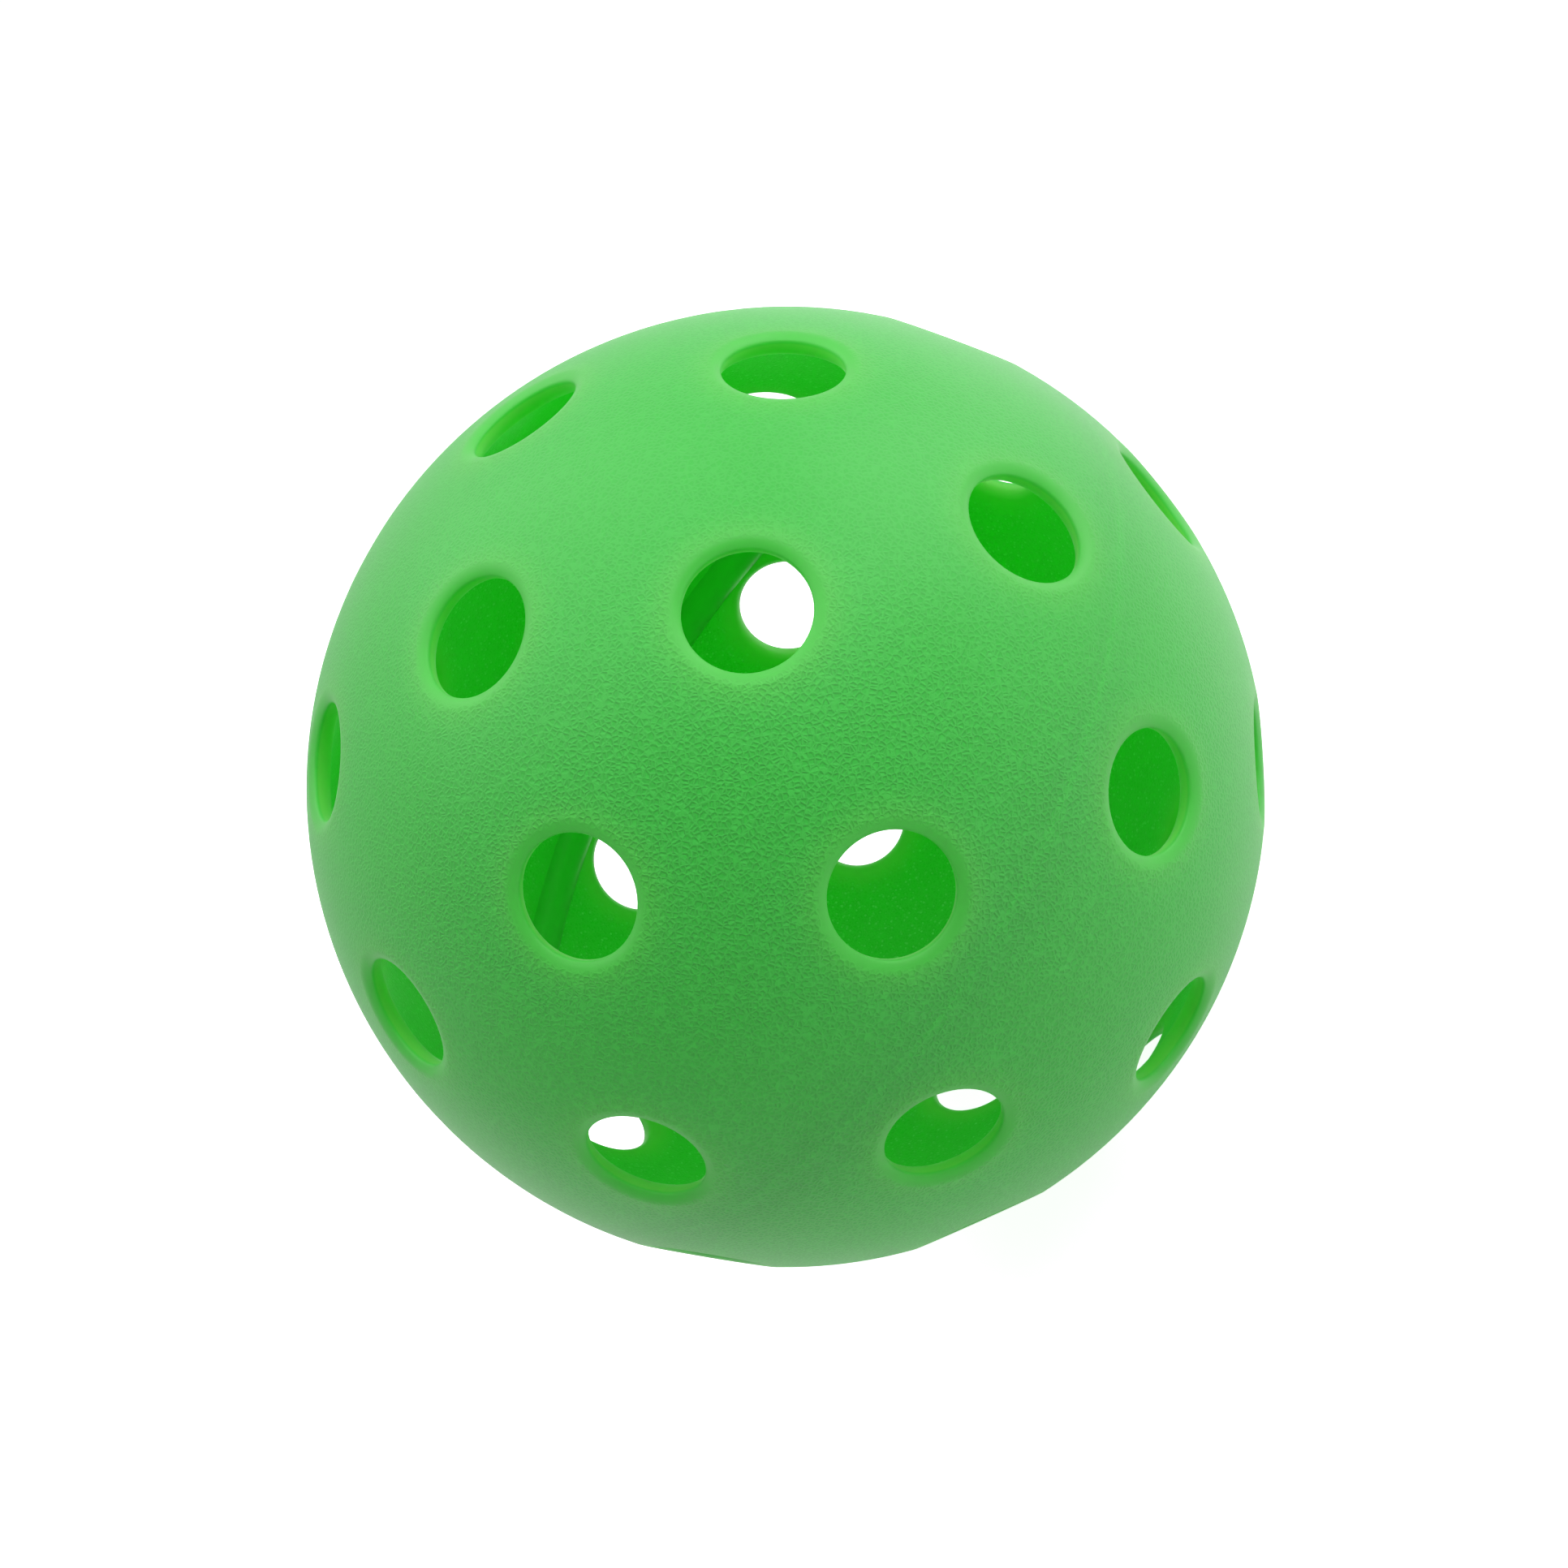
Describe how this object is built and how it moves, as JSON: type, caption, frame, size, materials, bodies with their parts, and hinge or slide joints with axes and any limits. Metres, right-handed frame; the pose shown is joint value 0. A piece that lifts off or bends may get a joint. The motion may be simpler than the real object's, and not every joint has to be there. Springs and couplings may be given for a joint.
{
  "type": "pickleball",
  "caption": "Hollow green plastic ball with round lipped air holes, moulded as two half shells lapped and welded at the equator.",
  "frame": {"origin": "centre of the ball", "axes": "+Z through the pole of the half that carries the spigot, +X through the middle of a hole beside the seam, raised 11.75 degrees"},
  "size_m": [0.074, 0.074, 0.074],
  "materials": {
    "shell": "fine leather-like grain, slightly translucent",
    "weld": "fused, smooth"
  },
  "bodies": {
    "root": {"upper_half_shell": "shell", "lower_half_shell": "shell", "weld_ring": "weld"}
  },
  "joints": []
}
